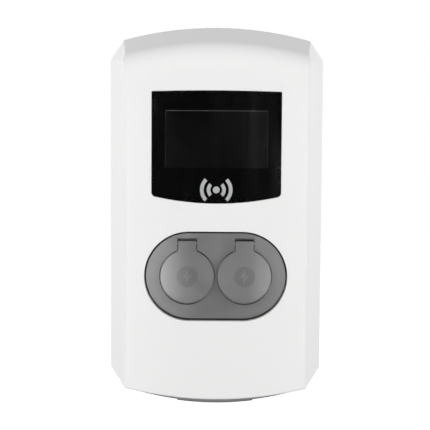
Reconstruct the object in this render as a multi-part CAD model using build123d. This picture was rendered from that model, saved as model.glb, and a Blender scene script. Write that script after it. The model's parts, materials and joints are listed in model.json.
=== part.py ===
"""Twin-socket charging station head: a moulded front cover on a rear housing, two lidded sockets, a display.

Millimetres. X runs to the viewer's right, Y towards the wall and Z up. The origin is the centre of the four
fixing holes, on the wall. Every function below makes one sub-part or one repeated kind of sub-part.
"""

from build123d import *
import os
from math import cos, radians, sin, sqrt, tan

# ---- overall form ----
DEPTH = 230.0  # wall to front face
FRONT = -DEPTH
SPLIT = -125.0  # plane where the cover meets the rear housing
SEAM = 2.3  # room for the rim seal between them
WALL = 3.2  # moulded wall of the cover
HALF_WIDTH = 169.0  # at the split
HALF_FACE = 138.0  # half the width of the flat front, between the creases
SIDE_FLARE = (HALF_WIDTH - HALF_FACE) / (SPLIT - FRONT)
TOP_Z = 290.0  # crown of the roof at the split
TOP_ARC_R = 555.0
TOP_ARC_Z = TOP_Z - TOP_ARC_R
ROOF_SLOPE = 21.0  # degrees
BEND_R = 45.0  # where the front turns into the roof
BOTTOM_FRONT_Z = -281.0
BOTTOM_SPLIT_Z = -306.0
BOTTOM_ARC_R = 550.0  # of the bottom edge, at the front
BOTTOM_ARC_Z = BOTTOM_FRONT_Z + BOTTOM_ARC_R
TOP_CORNER = (HALF_WIDTH, 238.0, 148.0, 270.0)  # x and z of the chamfer's two ends at the split
BOTTOM_CORNER = (HALF_WIDTH, -253.0, 145.0, -288.0)
TOP_CORNER_FLARE = 0.2987
BOTTOM_CORNER_FLARE = 0.195
CREASE_R = 2.4
REACH = 1500.0  # larger than anything here

# ---- rear housing ----
HOUSING_WALL = 3.5
HOUSING_BACK = -8.0  # the pads stand between this and the wall
HOUSING_HALF = HALF_WIDTH - 0.8
CHIN_Z = -311.5  # lowest point of the housing
BOLT_X, BOLT_Z, BOLT_R = 145.0, 200.0, 4.5
PAD_R = 13.0
RIB_WIDTH, RIB_HEIGHT, RIB_INSET = 2.4, 3.5, 22.0  # on the back
RIB_X, RIB_Z = (-90.0, -30.0, 30.0, 90.0), (-190.0, -105.0, -20.0, 65.0, 150.0, 215.0)
KNOCKOUTS, KNOCKOUT_R = [(0.0, -147.5), (0.0, 22.5)], 21.0
CHASSIS_BACK, CHASSIS_FRONT = -20.0, -22.0
CHASSIS_HALF = 130.0
CHASSIS_LOW, CHASSIS_HIGH = -215.0, 225.0
LIP_LOW = -40.0  # the chassis's side lips start above the socket bracket
CHASSIS_SCREWS = [(x, z) for x in (-118.0, 118.0) for z in (-200.0, 40.0, 212.0)]
ENTRY_HALF, ENTRY_DEPTH, ENTRY_Z = 108.0, 97.0, -262.0  # pocket under the housing for the cable glands
ENTRY_PLATE = 4.0
ENTRY_HOLE = (88.0, 34.0)  # half sizes in x and y of the hole that the entry plate closes
ENTRY_Y = -50.0
SUPPLY_X, DATA_X, SPARE_X = 0.0, 58.0, -58.0
SPIGOT_GAP, SPIGOT_WALL, SPIGOT_LENGTH = 0.6, 3.0, 12.0
TAB_X = (-42.0, 42.0)  # the cover's two slotted tongues
TAB_LOW, TAB_HIGH, TAB_END = -293.0, -290.0, -107.0
SCREW_Y, SCREW_HEAD_Z = -116.0, -303.5
LEDGE_Z = TAB_LOW - 0.5

# ---- window and display ----
WINDOW_HALF = 97.0
WINDOW_TOP, WINDOW_TOP_CORNER = 185.5, 183.8
WINDOW_LOW, WINDOW_LOW_CORNER = 17.1, 28.3
GLASS_FRONT, GLASS_BACK = FRONT + 0.5, FRONT + 3.5
MASK_BACK = GLASS_BACK + 0.3
LEDGE, LEDGE_BACK = 6.0, FRONT + 7.0
DISPLAY_Z = 113.5
APERTURE = (154.0, 86.0)
BEZEL = (165.0, 100.0)
VIEW, VIEW_Z = (153.2, 85.3), 112.55  # the bezel shows a little inside the print, mostly above the picture
BEZEL_FRONT, BEZEL_BACK = -224.9, -219.2
CARRIER_FRONT, CARRIER_BACK = -212.0, -209.0
BOARD_FRONT, BOARD_BACK = -206.0, -204.4
READER_FRONT, READER_BACK = -224.0, -222.4
CARRIER_POSTS = [(x, z) for x in (-104.0, 104.0) for z in (45.0, 168.0)]
SYMBOL_Z = 37.5
SYMBOL_DOT = 5.2
SYMBOL_ARCS = [(8.9, 14.4), (18.9, 24.5)]

# ---- sockets and lids ----
SOCKET_Z = -93.2
PITCH = 86.6
SOCKETS = {"left": -PITCH / 2, "right": PITCH / 2}
OVAL = (216.0, 135.6)  # opening in the cover
OVAL_GAP = 2.0
PLATE_TOP_Y, PLATE_LOW_Y = -229.0, -219.0  # the plate's face leans back towards its foot
PLATE_BACK = -216.0
PLATE_WALL = 3.0
LID_R, LID_GAP, POCKET_FLOOR = 40.9, 1.0, -217.8
GRIP_DROP = 2.2  # the pocket reaches this much further down, for a fingertip under the lid
LID_FACE, LID_CROWN, LID_BACK = -230.4, -230.8, -219.6  # edge, middle and rim of the crowned lid
LID_EDGE, TAB_ROOT_R = 1.2, 4.0
TAB_HALF, TAB_TOP, NOTCH_TOP = 13.7, -39.1, -35.2
HINGE_Y, HINGE_Z = -224.5, -43.5
PIN_R, PIN_END, KNUCKLE_R = 2.0, 6.0, 4.0  # PIN_END is how far the pin goes into the plate
COLLAR_R, COLLAR_FRONT = 36.0, -223.0
PANEL_FRONT, PANEL_BACK = -212.0, -210.0  # of the socket bracket
BODY_R, BODY_BACK = 33.5, -165.0
RECESS_R, RECESS_FLAT, RECESS_FLOOR = 30.5, 26.0, -188.0
ISLAND_R, ISLAND_FLAT, ISLAND_FRONT = 24.5, 19.5, -217.0
BASE_GAP, BASE_TAIL_R, BASE_TAIL = 0.15, 27.0, 8.0
SLEEVE_DEPTH, SLEEVE_BORE = 3.2, 36.0  # how far behind the island's face the sleeves start, and their depth
POWER_PINS = [(-16.2, 0.0), (0.0, 0.0), (16.2, 0.0), (-8.8, -14.6), (8.8, -14.6)]
SIGNAL_PINS = [(-7.6, 13.6), (7.6, 13.6)]
FLANGE_SCREWS = [(x, z) for x in (-32.5, 32.5) for z in (-32.5, 32.5)]
LOCK_Y, LOCK_R = -200.0, 2.8
LOCK_CLEARANCE = 0.08
LOCK_TOP, LOCK_TIP = -44.0, SOCKET_Z + RECESS_FLAT + 1.6
SEAL_FRONT = -226.6
EMBLEM_R, EMBLEM_DEPTH = 15.5, 0.8
SPRING_HALF, SPRING_GAP = 5.0, 3.9
CAP_BACK = -130.0
CABLE_R, CABLE_Y = 6.5, -143.0

# ---- switchgear on the rails ----
RAIL_BREAKERS_Z, RAIL_METERS_Z, RAIL_SUPPLY_Z = 90.0, -10.0, -150.0
RAIL_FACE = -29.5
DEVICE_BACK = -24.0
POLE = 17.8
BREAKERS = {"left": -87.0, "right": -13.0}
BREAKER_WIDTH = 4 * POLE
NOSE_Y, SHOULDER_Y = -80.0, -68.0
LEVER_Y, LEVER_R = -78.0, 8.0
BUTTON_Z, BUTTON_SIDE = -16.0, 6.0
METER_VIEW = (46.0, 20.0)
METERS = (-35.9, 35.9)
CONTACTORS = (-98.8, 98.8)


# ---- helpers ----
def facing(y):
    """A sketch plane at depth y seen from the front: its x is X and its y is Z."""
    return Plane(origin=(0, y, 0), x_dir=(1, 0, 0), z_dir=(0, -1, 0))


def slab(face, y_front, y_back):
    """A front-view face as a solid between two depths."""
    return extrude(facing(y_back) * face, amount=y_back - y_front)


def block(x0, x1, y0, y1, z0, z1):
    """A box between two corners."""
    return Pos(x0, y0, z0) * Box(x1 - x0, y1 - y0, z1 - z0, align=(Align.MIN,) * 3)


def rod_y(x, z, radius, y_front, y_back):
    """A cylinder along Y."""
    return slab(Pos(x, z) * Circle(radius), y_front, y_back)


def rod_z(x, y, radius, z0, z1):
    """A cylinder along Z."""
    return Pos(x, y, z0) * Cylinder(radius, z1 - z0, align=(Align.CENTER, Align.CENTER, Align.MIN))


def rod_x(y, z, radius, x0, x1):
    """A cylinder along X."""
    base = Plane(origin=(x0, y, z), z_dir=(1, 0, 0))
    return base * Cylinder(radius, x1 - x0, align=(Align.CENTER, Align.CENTER, Align.MIN))


def half_space(point, normal, inset):
    """Everything behind the plane through point, moved inwards by inset."""
    outward = Vector(*normal).normalized()
    plane = Plane(origin=Vector(*point) - outward * inset, z_dir=outward)
    return plane * Box(REACH, REACH, REACH, align=(Align.CENTER, Align.CENTER, Align.MAX))


def turned(points, axis_z):
    """A side-view profile of (y, z) edges turned about the line parallel to Y at height axis_z."""
    return revolve(Plane.YZ * make_face(points), Axis((0, 0, axis_z), (0, 1, 0)), 360)


def tube(points, radius, bends):
    """A round cable along straight runs joined by tangent arcs."""
    path = FilletPolyline(*points, radius=bends)
    start = Plane(origin=points[0], z_dir=Vector(*points[1]) - Vector(*points[0]))
    return sweep(start * Circle(radius), path=path)


def bend_radii(points, share=0.45):
    """The largest even arcs that a route's runs allow, one for each corner."""
    spots = [Vector(*p) for p in points]
    radii = []
    for before, corner, after in zip(spots, spots[1:], spots[2:]):
        turn = radians((corner - before).get_angle(after - corner))
        shorter = min((corner - before).length, (after - corner).length)
        radii.append(share * shorter / tan(turn / 2))
    return radii


# ---- cover and housing outlines ----
def roof_form(inset):
    """Everything under the barrel roof: flat front, bend and slope turned about the top arc's centre."""
    bend_y = FRONT + BEND_R
    slope_end = -80.0
    rise = tan(radians(ROOF_SLOPE))
    bend_top = (bend_y - BEND_R * sin(radians(ROOF_SLOPE)), BEND_R * cos(radians(ROOF_SLOPE)))
    bend_centre_r = TOP_ARC_R - (SPLIT - bend_top[0]) * rise - bend_top[1]
    centre = (bend_y, TOP_ARC_Z - bend_centre_r)
    arc = CenterArc(centre, BEND_R - inset, 180, 90 - ROOF_SLOPE)
    start, end = arc @ 0, arc @ 1
    back = (slope_end, end.Y - (slope_end - end.X) * rise)
    outline = arc + Polyline((end.X, end.Y), back, (slope_end, TOP_ARC_Z), (start.X, TOP_ARC_Z),
                             (start.X, start.Y))
    return turned(outline, TOP_ARC_Z)


def bottom_form(inset):
    """Everything above the cover's underside, a shallow cone about the bottom arc's centre."""
    drop = (BOTTOM_SPLIT_Z - BOTTOM_FRONT_Z) / (SPLIT - FRONT)
    lift = inset * sqrt(1 + drop**2)
    ends = (FRONT - 10.0, -80.0)
    low = [(y, BOTTOM_FRONT_Z + lift + drop * (y - FRONT)) for y in ends]
    mirrored = [(y, 2 * BOTTOM_ARC_Z - z) for y, z in low]
    outline = Polyline(*mirrored, (ends[1], BOTTOM_ARC_Z), (ends[0], BOTTOM_ARC_Z), close=True)
    return turned(outline, BOTTOM_ARC_Z)


def flared(x, z, out_x, out_z, flare, inset):
    """A pair of mirrored flared planes through (x, z) at the split."""
    size = sqrt(out_x**2 + out_z**2)
    spaces = []
    for side in (1, -1):
        normal = (side * out_x / size, -flare, out_z / size)
        spaces.append(half_space((side * x, SPLIT, z), normal, inset))
    return spaces


def cover_form(inset, back=-90.0):
    """The cover's outer form, convex, with every surface moved inwards by inset."""
    form = block(-REACH / 2, REACH / 2, FRONT + inset, back, -REACH / 2, REACH / 2)
    (xa, za, xb, zb), (xc, zc, xd, zd) = TOP_CORNER, BOTTOM_CORNER
    walls = flared(HALF_WIDTH, 0, 1, 0, SIDE_FLARE, inset)
    walls += flared(xa, za, zb - za, xa - xb, TOP_CORNER_FLARE, inset)
    walls += flared(xc, zc, zc - zd, xd - xc, BOTTOM_CORNER_FLARE, inset)
    for wall in walls:
        form &= wall
    return form & roof_form(inset) & bottom_form(inset)


def soft_creases(form, radius):
    """Rounds the creases, leaving alone the smooth lines where the front runs into the roof."""
    creases = []
    for edge in form.edges():
        box = edge.bounding_box()
        behind = box.min.Y > SPLIT + 5
        smooth = box.size.Y < 0.01 and edge.center().Z > 150
        if not behind and not smooth:
            creases.append(edge)
    return fillet(creases, radius)


def housing_outline():
    """The housing seen from the front: the cover's outline with a lower, rounder chin."""
    inset = HALF_WIDTH - HOUSING_HALF
    top = TOP_Z - inset
    xa, za, xb, zb = TOP_CORNER
    xa, za, xb, zb = xa - inset, za - 0.4, xb - 0.7, zb - inset
    low_x, low_z = 144.4, -288.4
    side_low = BOTTOM_CORNER[1] + 1.0
    edges = ThreePointArc((-xb, zb), (0, top), (xb, zb))
    edges += Polyline((xb, zb), (xa, za), (xa, side_low), (low_x, low_z))
    edges += ThreePointArc((low_x, low_z), (0, CHIN_Z), (-low_x, low_z))
    edges += Polyline((-low_x, low_z), (-xa, side_low), (-xa, za), (-xb, zb))
    return make_face(edges)


def window_outline(grow=0.0):
    """The display window seen from the front: square at the top, bowed and rounded at the foot."""
    w = WINDOW_HALF
    edges = Line((w, WINDOW_LOW_CORNER), (w, WINDOW_TOP_CORNER))
    edges += ThreePointArc((w, WINDOW_TOP_CORNER), (0, WINDOW_TOP), (-w, WINDOW_TOP_CORNER))
    edges += Line((-w, WINDOW_TOP_CORNER), (-w, WINDOW_LOW_CORNER))
    edges += ThreePointArc((-w, WINDOW_LOW_CORNER), (0, WINDOW_LOW), (w, WINDOW_LOW_CORNER))
    face = make_face(edges)
    face = fillet(face.vertices().filter_by(lambda v: v.Y < DISPLAY_Z), 6.5)
    face = fillet(face.vertices().filter_by(lambda v: v.Y > WINDOW_TOP_CORNER - 2), 1.2)
    return offset(face, amount=grow) if grow else face


def oval(grow=0.0):
    """The socket plate's opening seen from the front."""
    return Pos(0, SOCKET_Z) * SlotOverall(OVAL[0] + 2 * grow, OVAL[1] + 2 * grow)


# ---- front cover and what it carries ----
def front_cover():
    rear = SPLIT - SEAM
    outer = soft_creases(cover_form(0), CREASE_R)
    outer &= block(-REACH / 2, REACH / 2, FRONT - 1, rear, -REACH / 2, REACH / 2)
    cover = outer - cover_form(WALL)
    cover += slab(window_outline(LEDGE + 3), FRONT + 2, LEDGE_BACK)
    cover += slab(oval(3.0), FRONT + 2, FRONT + 10)
    for x, z in CARRIER_POSTS:
        cover += rod_y(x, z, 4.5, FRONT + 2, CARRIER_FRONT)
        cover -= rod_y(x, z, 1.5, FRONT + 6, CARRIER_FRONT)
    cover -= slab(window_outline(0.4), FRONT - 1, MASK_BACK)
    cover -= slab(window_outline(-LEDGE), FRONT - 1, LEDGE_BACK + 1)
    cover -= slab(oval(), FRONT - 1, FRONT + 11)
    rims = [e for e in cover.edges() if on_front_opening(e)]
    cover = fillet(rims, 0.7)
    for x in TAB_X:
        cover += cover_tab(x)
    return cover


def on_front_opening(edge):
    """An edge of the window or the oval where it meets the flat front."""
    box = edge.bounding_box()
    flat = box.size.Y < 0.01 and abs(box.min.Y - FRONT) < 0.01
    inside = max(abs(box.min.X), abs(box.max.X)) < HALF_FACE - 10
    return flat and inside and box.min.Z > -170 and box.max.Z < 190


def cover_tab(x):
    """A tongue on the cover's underside whose open slot slides over a fixing screw."""
    rib = block(x - 10, x + 10, -175, -141, -302, TAB_HIGH) & cover_form(WALL - 0.6)
    tongue = block(x - 10, x + 10, -160, TAB_END, TAB_LOW, TAB_HIGH)
    slot = block(x - 3.0, x + 3.0, SCREW_Y, TAB_END + 1, TAB_LOW - 1, TAB_HIGH + 1)
    slot += rod_z(x, SCREW_Y, 3.0, TAB_LOW - 1, TAB_HIGH + 1)
    return rib + tongue - slot


def window_glass():
    glass = slab(window_outline(), GLASS_FRONT, GLASS_BACK)
    return chamfer(glass.faces().sort_by(Axis.Y)[0].edges(), 0.35)


def symbol_faces():
    """A dot between two pairs of open arcs, the usual mark for a contactless reader."""
    wedge = make_face(Polyline((0, 0), (40, 40), (40, -40), (0, 0)))
    faces = [Pos(0, SYMBOL_Z) * Circle(SYMBOL_DOT)]
    for inner, outer in SYMBOL_ARCS:
        for turn in (0, 180):
            arc = (Circle(outer) - Circle(inner)) & (Rot(0, 0, turn) * wedge)
            faces.append(Pos(0, SYMBOL_Z) * arc)
    return faces


def window_mask():
    """The black print behind the glass, open over the display and cut out for the symbol."""
    face = window_outline() - Pos(0, DISPLAY_Z) * Rectangle(*APERTURE)
    for part in symbol_faces():
        face -= part
    return slab(face, GLASS_BACK, MASK_BACK)


def reader_symbol():
    return Compound([slab(face, GLASS_BACK, MASK_BACK).solid() for face in symbol_faces()])


def display_bezel():
    """The panel's black frame, open over the picture."""
    frame = slab(Pos(0, DISPLAY_Z) * RectangleRounded(*BEZEL, 1.5), BEZEL_FRONT, BEZEL_BACK)
    frame -= slab(Pos(0, VIEW_Z) * Rectangle(*VIEW), BEZEL_FRONT - 1, BEZEL_FRONT + 0.6)
    return frame - slab(Pos(0, DISPLAY_Z) * Rectangle(BEZEL[0] - 2, BEZEL[1] - 2),
                        BEZEL_FRONT + 0.6, BEZEL_BACK - 0.8)


def display_panel():
    """The liquid crystal cell and its light guide."""
    return slab(Pos(0, DISPLAY_Z) * Rectangle(BEZEL[0] - 2.2, BEZEL[1] - 2.2),
                BEZEL_FRONT + 0.6, BEZEL_BACK - 0.9)


def display_carrier():
    """A moulded frame screwed to the cover's posts that presses the display against the window."""
    plate = slab(Pos(0, 105) * RectangleRounded(220, 142, 6), CARRIER_FRONT, CARRIER_BACK)
    plate -= slab(Pos(0, DISPLAY_Z) * RectangleRounded(120, 60, 5), CARRIER_FRONT - 1, CARRIER_BACK + 1)
    for x in (-74, 74):
        for z in (-42, 42):
            plate += slab(Pos(x, DISPLAY_Z + z) * Rectangle(12, 10), BEZEL_BACK, CARRIER_FRONT)
            plate += rod_y(x, DISPLAY_Z + z, 3.5, CARRIER_BACK, BOARD_FRONT)
    for x, z in CARRIER_POSTS:
        plate -= rod_y(x, z, 1.8, CARRIER_FRONT - 1, CARRIER_BACK + 1)
    for x in (-46, 46):
        plate += rod_y(x, 44, 3.0, READER_BACK, CARRIER_FRONT)
    return plate


def display_board():
    board = slab(Pos(0, DISPLAY_Z) * RectangleRounded(168, 100, 3), BOARD_FRONT, BOARD_BACK)
    for x in (-74, 74):
        for z in (-42, 42):
            board -= rod_y(x, DISPLAY_Z + z, 1.6, BOARD_FRONT - 1, BOARD_BACK + 1)
    return board


def display_board_parts():
    """Chips, a ribbon connector and a plug header on the back of the display's board."""
    spots = [(-40, 18, 24, 24, 2.0), (8, 20, 14, 14, 1.6), (45, 22, 18, 10, 1.6), (0, -30, 46, 6, 4.0),
             (58, -28, 16, 8, 7.0), (-60, -26, 10, 12, 6.0)]
    parts = [slab(Pos(x, DISPLAY_Z + z) * Rectangle(w, h), BOARD_BACK, BOARD_BACK + d).solid()
             for x, z, w, h, d in spots]
    return Compound(parts)


def reader_board():
    """The contactless reader's board, just behind the symbol, with a raised antenna loop."""
    board = slab(Pos(0, 44) * RectangleRounded(112, 29, 2), READER_FRONT, READER_BACK)
    loop = Pos(0, 44) * (RectangleRounded(70, 24, 3) - RectangleRounded(64, 18, 2))
    return board + slab(loop, READER_FRONT - 0.2, READER_FRONT)


def carrier_screws():
    screws = []
    for x, z in CARRIER_POSTS:
        head = rod_y(x, z, 3.0, CARRIER_BACK, CARRIER_BACK + 2.2)
        head -= slab(Pos(x, z) * RegularPolygon(1.3, 6), CARRIER_BACK + 1, CARRIER_BACK + 3)
        screws.append((head + rod_y(x, z, 1.5, CARRIER_FRONT - 8, CARRIER_BACK)).solid())
    return Compound(screws)


# ---- rear housing and seals ----
def rear_housing():
    outline = housing_outline()
    shell = slab(outline, SPLIT, HOUSING_BACK)
    shell = fillet(shell.faces().sort_by(Axis.Y)[-1].edges(), 9.0) + back_ribs()
    pocket = block(-ENTRY_HALF, ENTRY_HALF, -ENTRY_DEPTH, 1, CHIN_Z - 5, ENTRY_Z)
    guard = block(-ENTRY_HALF - HOUSING_WALL, ENTRY_HALF + HOUSING_WALL, -ENTRY_DEPTH - HOUSING_WALL, 1,
                  CHIN_Z - 5, ENTRY_Z + HOUSING_WALL)
    inner = slab(offset(outline, amount=-HOUSING_WALL), SPLIT + HOUSING_WALL, HOUSING_BACK - HOUSING_WALL)
    shell -= inner - guard
    shell -= pocket
    spigot_out, spigot_in = WALL + SPIGOT_GAP, WALL + SPIGOT_GAP + SPIGOT_WALL
    reach = block(-REACH, REACH, SPLIT - SPIGOT_LENGTH, SPLIT + 1, -REACH, REACH)
    mouth = block(-REACH, REACH, SPLIT - SPIGOT_LENGTH - 1, SPLIT + HOUSING_WALL + 0.5, -REACH, REACH)
    shell += cover_form(spigot_out) & reach
    shell -= cover_form(spigot_in) & mouth
    for x, z in CHASSIS_SCREWS:
        shell += rod_y(x, z, 6.0, CHASSIS_BACK, HOUSING_BACK - 1)
        shell -= rod_y(x, z, 2.0, CHASSIS_BACK - 1, HOUSING_BACK - 2)
    for x in (-BOLT_X, BOLT_X):
        for z in (-BOLT_Z, BOLT_Z):
            shell += rod_y(x, z, PAD_R, HOUSING_BACK - HOUSING_WALL - 3, 0)
            shell -= rod_y(x, z, BOLT_R, -30, 1)
    hole_x, hole_y = ENTRY_HOLE
    shell -= block(-hole_x, hole_x, ENTRY_Y - hole_y, ENTRY_Y + hole_y, ENTRY_Z - 1, ENTRY_Z + 5)
    for x, y in entry_screw_spots():
        shell -= rod_z(x, y, 1.6, ENTRY_Z - 1, ENTRY_Z + 5)
    for x in TAB_X:
        shell += block(x - 9, x + 9, -122, -104, CHIN_Z + 2, LEDGE_Z) & slab(outline, SPLIT, -100)
        shell -= rod_z(x, SCREW_Y, 2.7, CHIN_Z - 5, LEDGE_Z + 1)
        shell -= rod_z(x, SCREW_Y, 5.6, CHIN_Z - 5, SCREW_HEAD_Z)
    return shell


def back_ribs():
    """The stiffening ribs and the two knock-out rings on the back."""
    field = offset(housing_outline(), amount=-RIB_INSET)
    lines = field - offset(field, amount=-RIB_WIDTH)
    for x in RIB_X:
        lines += Pos(x, 0) * Rectangle(RIB_WIDTH, REACH) & field
    for z in RIB_Z:
        lines += Pos(0, z) * Rectangle(REACH, RIB_WIDTH) & field
    for spot in KNOCKOUTS:
        lines += Pos(*spot) * (Circle(KNOCKOUT_R) - Circle(KNOCKOUT_R - RIB_WIDTH))
    return slab(lines, HOUSING_BACK - 1, HOUSING_BACK + RIB_HEIGHT)


def rim_seal():
    """The rubber ring that the cover's rear edge presses on."""
    ring = cover_form(0.4) - cover_form(WALL - 0.2)
    return ring & block(-REACH, REACH, SPLIT - SEAM + 0.3, SPLIT, -REACH, REACH)


def wall_washers():
    """Sealing washers for the four wall bolts, on the bosses inside the housing."""
    inside = HOUSING_BACK - HOUSING_WALL - 3
    rings = []
    for x in (-BOLT_X, BOLT_X):
        for z in (-BOLT_Z, BOLT_Z):
            ring = rod_y(x, z, 9.0, inside - 2.5, inside) - rod_y(x, z, BOLT_R + 0.2, inside - 4, inside + 1)
            rings.append(ring.solid())
    return Compound(rings)


def cover_screws():
    """Two screws from below, each with a clamping nut above the cover's tongue."""
    pieces = []
    for x in TAB_X:
        shank = rod_z(x, SCREW_Y, 2.5, SCREW_HEAD_Z, TAB_HIGH + 6)
        head = rod_z(x, SCREW_Y, 4.7, SCREW_HEAD_Z - 4.0, SCREW_HEAD_Z)
        socket = Pos(x, SCREW_Y, SCREW_HEAD_Z - 4.5) * extrude(RegularPolygon(2.2, 6), amount=3)
        pieces.append((shank + head - socket).solid())
        nut = Pos(x, SCREW_Y, TAB_HIGH + 0.3) * extrude(RegularPolygon(5.2, 6), amount=4)
        pieces.append((nut - rod_z(x, SCREW_Y, 2.5, TAB_HIGH, TAB_HIGH + 6)).solid())
    return Compound(pieces)


def chin_cap():
    """A dark clip-on trim along the chin that hides the fixing screws."""
    half, y0, y1 = 61.0, SPLIT - 0.4, -103.0
    ring = slab(offset(housing_outline(), amount=1.4) - housing_outline(), y0, y1)
    cap = ring & block(-half, half, y0, y1, CHIN_Z - 3, -250)
    for x in TAB_X:
        cap += rod_z(x, SCREW_Y, 5.3, CHIN_Z + 0.3, SCREW_HEAD_Z - 4.2) & slab(housing_outline(), y0, y1)
    return cap


# ---- cable entry ----
def entry_screw_spots():
    return [(x, y) for x in (-96.0, 96.0) for y in (ENTRY_Y - 30, ENTRY_Y + 30)]


def gland_spots():
    """Centre x, clearance radius in the plate, for the supply, data and spare entries."""
    return [(SUPPLY_X, 20.1), (DATA_X, 10.1), (SPARE_X, 10.1)]


def entry_plate():
    """The plate that closes the housing's floor and carries the glands."""
    plate = block(-104, 104, ENTRY_Y - 42, ENTRY_Y + 42, ENTRY_Z - ENTRY_PLATE, ENTRY_Z)
    plate = fillet(plate.edges().filter_by(Axis.Z), 6)
    hole_x, hole_y = ENTRY_HOLE
    plate += block(-hole_x + 0.5, hole_x - 0.5, ENTRY_Y - hole_y + 0.5, ENTRY_Y + hole_y - 0.5,
                   ENTRY_Z, ENTRY_Z + 2.5)
    for x, radius in gland_spots():
        plate -= rod_z(x, ENTRY_Y, radius, ENTRY_Z - 10, ENTRY_Z + 10)
    for x, y in entry_screw_spots():
        plate -= rod_z(x, y, 2.2, ENTRY_Z - 10, ENTRY_Z + 10)
    return plate


def entry_screws():
    screws = []
    for x, y in entry_screw_spots():
        head = rod_z(x, y, 3.6, ENTRY_Z - ENTRY_PLATE - 2.4, ENTRY_Z - ENTRY_PLATE)
        head -= block(x - 3, x + 3, y - 0.5, y + 0.5, ENTRY_Z - ENTRY_PLATE - 3, ENTRY_Z - ENTRY_PLATE - 1.2)
        screws.append((head + rod_z(x, y, 1.6, ENTRY_Z - ENTRY_PLATE, ENTRY_Z + 4)).solid())
    return Compound(screws)


def gland_body(x, thread_r, hex_r, bore):
    """A gland's threaded body with its hexagon under the plate, and the lock nut inside."""
    under, inside = ENTRY_Z - ENTRY_PLATE, ENTRY_Z + 2.5
    body = rod_z(x, ENTRY_Y, thread_r, under - 16, inside + 9)
    body += Pos(x, ENTRY_Y, under - 8) * extrude(RegularPolygon(hex_r, 6), amount=8)
    body -= rod_z(x, ENTRY_Y, bore, under - 20, inside + 12)
    nut = Pos(x, ENTRY_Y, inside) * extrude(RegularPolygon(hex_r + 0.8, 6), amount=5)
    nut -= rod_z(x, ENTRY_Y, thread_r, inside - 1, inside + 6)
    return [body.solid(), nut.solid()]


def gland_nut(x, thread_r, hex_r, mouth):
    """A domed pressing nut with grip ribs."""
    top = ENTRY_Z - ENTRY_PLATE - 8.6
    nut = rod_z(x, ENTRY_Y, hex_r - 0.6, top - 18, top)
    nut = fillet(nut.edges().group_by(Axis.Z)[0], 4.0)
    for i in range(12):
        angle = radians(30 * i)
        nut -= rod_z(x + hex_r * cos(angle), ENTRY_Y + hex_r * sin(angle), 1.4, top - 20, top - 1.5)
    nut -= rod_z(x, ENTRY_Y, thread_r, top - 14, top + 1)
    return nut - rod_z(x, ENTRY_Y, mouth, top - 20, top + 1)


def gland_seal(x, outer, bore):
    """The rubber sleeve that grips the cable."""
    top = ENTRY_Z - ENTRY_PLATE - 1
    return rod_z(x, ENTRY_Y, outer, top - 20, top) - rod_z(x, ENTRY_Y, bore, top - 22, top + 2)


def spare_plug():
    """A screwed blanking plug in the spare entry, with its lock nut."""
    under, inside = ENTRY_Z - ENTRY_PLATE, ENTRY_Z + 2.5
    plug = rod_z(SPARE_X, ENTRY_Y, 10.0, under, inside + 7)
    plug += rod_z(SPARE_X, ENTRY_Y, 13.0, under - 4, under)
    plug -= rod_z(SPARE_X, ENTRY_Y, 7.5, under - 1, inside + 8)
    plug -= block(SPARE_X - 9, SPARE_X + 9, ENTRY_Y - 1, ENTRY_Y + 1, under - 5, under - 2.6)
    nut = Pos(SPARE_X, ENTRY_Y, inside) * extrude(RegularPolygon(14, 6), amount=4)
    return Compound([plug.solid(), (nut - rod_z(SPARE_X, ENTRY_Y, 10.0, inside - 1, inside + 5)).solid()])


# ---- chassis, rails and switchgear ----
def chassis_plate():
    """A galvanised plate with stiffening lips along its sides."""
    plate = block(-CHASSIS_HALF, CHASSIS_HALF, CHASSIS_FRONT, CHASSIS_BACK, CHASSIS_LOW, CHASSIS_HIGH)
    for side in (-1, 1):
        x0, x1 = sorted((side * CHASSIS_HALF, side * (CHASSIS_HALF - 2)))
        plate += block(x0, x1, CHASSIS_FRONT - 6, CHASSIS_BACK, LIP_LOW, CHASSIS_HIGH)
    for x, z in CHASSIS_SCREWS:
        plate -= rod_y(x, z, 2.7, CHASSIS_FRONT - 1, CHASSIS_BACK + 1)
    for z in (-180.0, -100.0, 40.0, 140.0):
        for x in (-40.0, 0.0, 40.0):
            plate -= slab(Pos(x, z) * SlotOverall(26, 7), CHASSIS_FRONT - 1, CHASSIS_BACK + 1)
    return plate


def chassis_screws():
    """The screws that hold the chassis to the housing and the socket bracket to the chassis."""
    screws = []
    for x, z in CHASSIS_SCREWS:
        head = rod_y(x, z, 4.6, CHASSIS_FRONT - 3.0, CHASSIS_FRONT)
        head = fillet(head.edges().sort_by(Axis.Y)[0], 1.2)
        head -= slab(Pos(x, z) * RegularPolygon(2.0, 6), CHASSIS_FRONT - 4, CHASSIS_FRONT - 1.6)
        screws.append((head + rod_y(x, z, 2.0, CHASSIS_FRONT, HOUSING_BACK - 3)).solid())
    return Compound(screws + bracket_screws())


def top_hat_rail(z, half):
    """A 35 mm top-hat rail on the chassis plate."""
    y = CHASSIS_FRONT
    outer = Polyline((y, -13.5), (RAIL_FACE + 1, -13.5), (RAIL_FACE + 1, -17.5), (RAIL_FACE, -17.5),
                     (RAIL_FACE, -12.5), (y - 1, -12.5), (y - 1, 12.5), (RAIL_FACE, 12.5),
                     (RAIL_FACE, 17.5), (RAIL_FACE + 1, 17.5), (RAIL_FACE + 1, 13.5), (y, 13.5), close=True)
    return Pos(0, 0, z) * extrude(Plane.YZ * make_face(outer), amount=half, both=True)


def din_rails():
    rails = [(RAIL_BREAKERS_Z, 126.0), (RAIL_METERS_Z, 126.0), (RAIL_SUPPLY_Z, 66.0)]
    return Compound([top_hat_rail(z, half).solid() for z, half in rails])


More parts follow.
